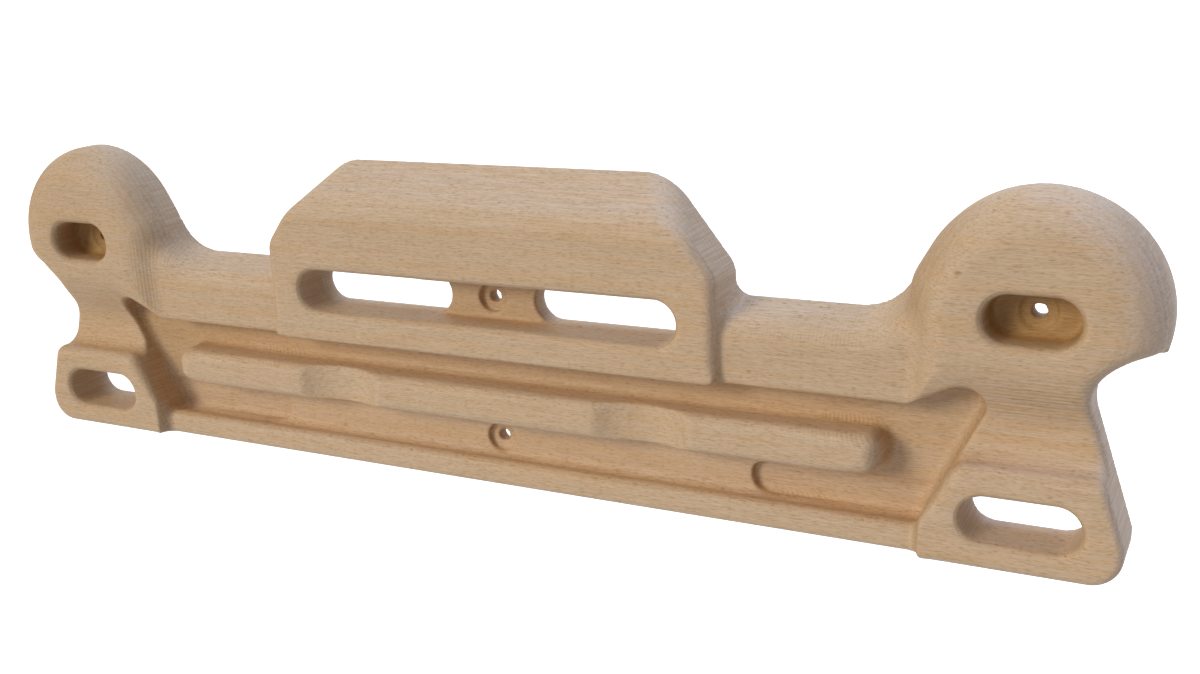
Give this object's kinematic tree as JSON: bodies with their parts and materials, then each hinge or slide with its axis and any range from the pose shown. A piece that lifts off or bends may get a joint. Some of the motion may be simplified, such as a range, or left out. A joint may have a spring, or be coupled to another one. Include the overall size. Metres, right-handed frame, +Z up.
{
  "type": "hangboard",
  "caption": "Wall-mounted wooden finger training board with round slopers, a sloping centre block with a window, a rung, edges, finger pockets and finger slots.",
  "frame": {"origin": "centre of the flat back face, on the wall, at half the board's height", "axes": "+X to the right along the board as seen from the front, +Y into the wall, +Z up"},
  "size_m": [0.5964, 0.028, 0.1542],
  "materials": {
    "beech_lower": "milled and finely sanded beech, bare, matt",
    "beech_middle": "milled and finely sanded beech, bare, matt",
    "beech_left_top": "milled and finely sanded beech, bare, matt",
    "beech_centre_top": "milled and finely sanded beech, bare, matt",
    "beech_right_top": "milled and finely sanded beech, bare, matt"
  },
  "bodies": {
    "root": {"lower_stave": "beech_lower", "middle_stave": "beech_middle", "left_pod_top": "beech_left_top", "centre_block_top": "beech_centre_top", "right_pod_top": "beech_right_top"}
  },
  "joints": []
}
